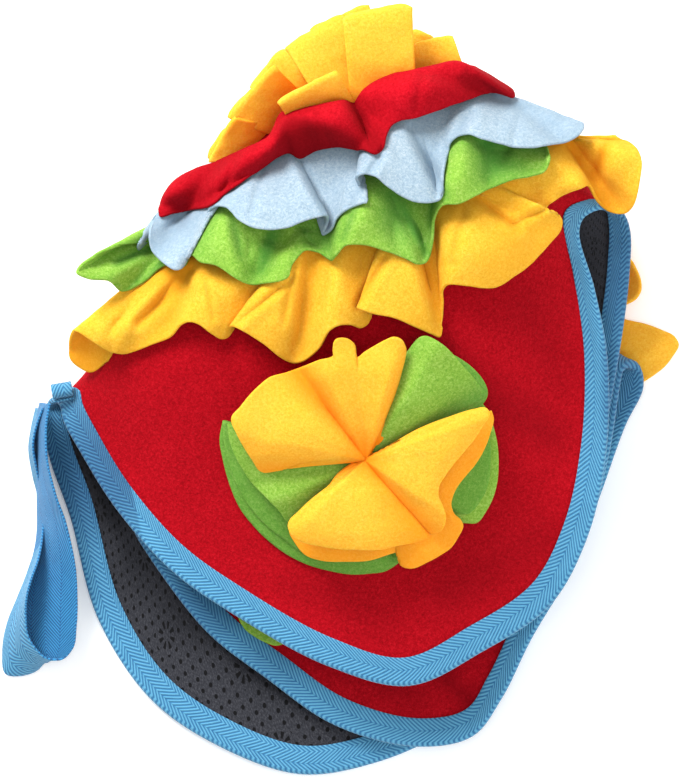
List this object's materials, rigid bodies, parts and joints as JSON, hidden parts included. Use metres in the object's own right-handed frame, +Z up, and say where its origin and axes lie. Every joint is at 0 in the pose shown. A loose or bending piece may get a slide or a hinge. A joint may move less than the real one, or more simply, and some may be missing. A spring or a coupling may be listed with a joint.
{
  "type": "snuffle mat",
  "caption": "Round red fleece snuffle mat for pets, lying folded, with a bound rim, rings of coloured fleece ruffles, centre loops, a fleece flower and a hanging loop.",
  "frame": {"origin": "on the floor, under the middle of the folded mat's bounding box", "axes": "+Z up from the floor, +Y toward the gathered centre with its loops, +X to the right as seen from above"},
  "size_m": [0.3123, 0.3514, 0.1001],
  "materials": {
    "red_fleece": "short fleece pile, matt",
    "backing_fabric": "dark woven melange with rubbery dots, matt",
    "blue_tape": "herringbone woven tape",
    "yellow_fleece": "smooth fleece, matt",
    "green_fleece": "smooth fleece, matt",
    "light_blue_fleece": "smooth fleece, matt",
    "ruffle_red_fleece": "smooth fleece, matt"
  },
  "bodies": {
    "root": {"center_loop_01": "yellow_fleece", "center_loop_02": "yellow_fleece", "center_loop_03": "yellow_fleece", "center_loop_04": "yellow_fleece", "center_loop_05": "yellow_fleece", "center_loop_06": "yellow_fleece", "center_loop_07": "yellow_fleece", "center_loop_08": "yellow_fleece", "center_loop_09": "yellow_fleece", "center_loop_10": "yellow_fleece", "center_loop_11": "yellow_fleece", "center_loop_12": "yellow_fleece", "edge_binding": "blue_tape", "flower_green_left": "green_fleece", "flower_green_low": "green_fleece", "flower_green_right": "green_fleece", "flower_green_top": "green_fleece", "flower_green_under": "green_fleece", "flower_yellow_bottom": "yellow_fleece", "flower_yellow_low": "yellow_fleece", "flower_yellow_right": "yellow_fleece", "flower_yellow_top": "yellow_fleece", "hanging_loop": "blue_tape", "mat_backing": "backing_fabric", "mat_top": "red_fleece", "ruffle_green": "green_fleece", "ruffle_light_blue": "light_blue_fleece", "ruffle_red": "ruffle_red_fleece", "ruffle_yellow": "yellow_fleece", "tape_roll": "blue_tape"}
  },
  "joints": []
}
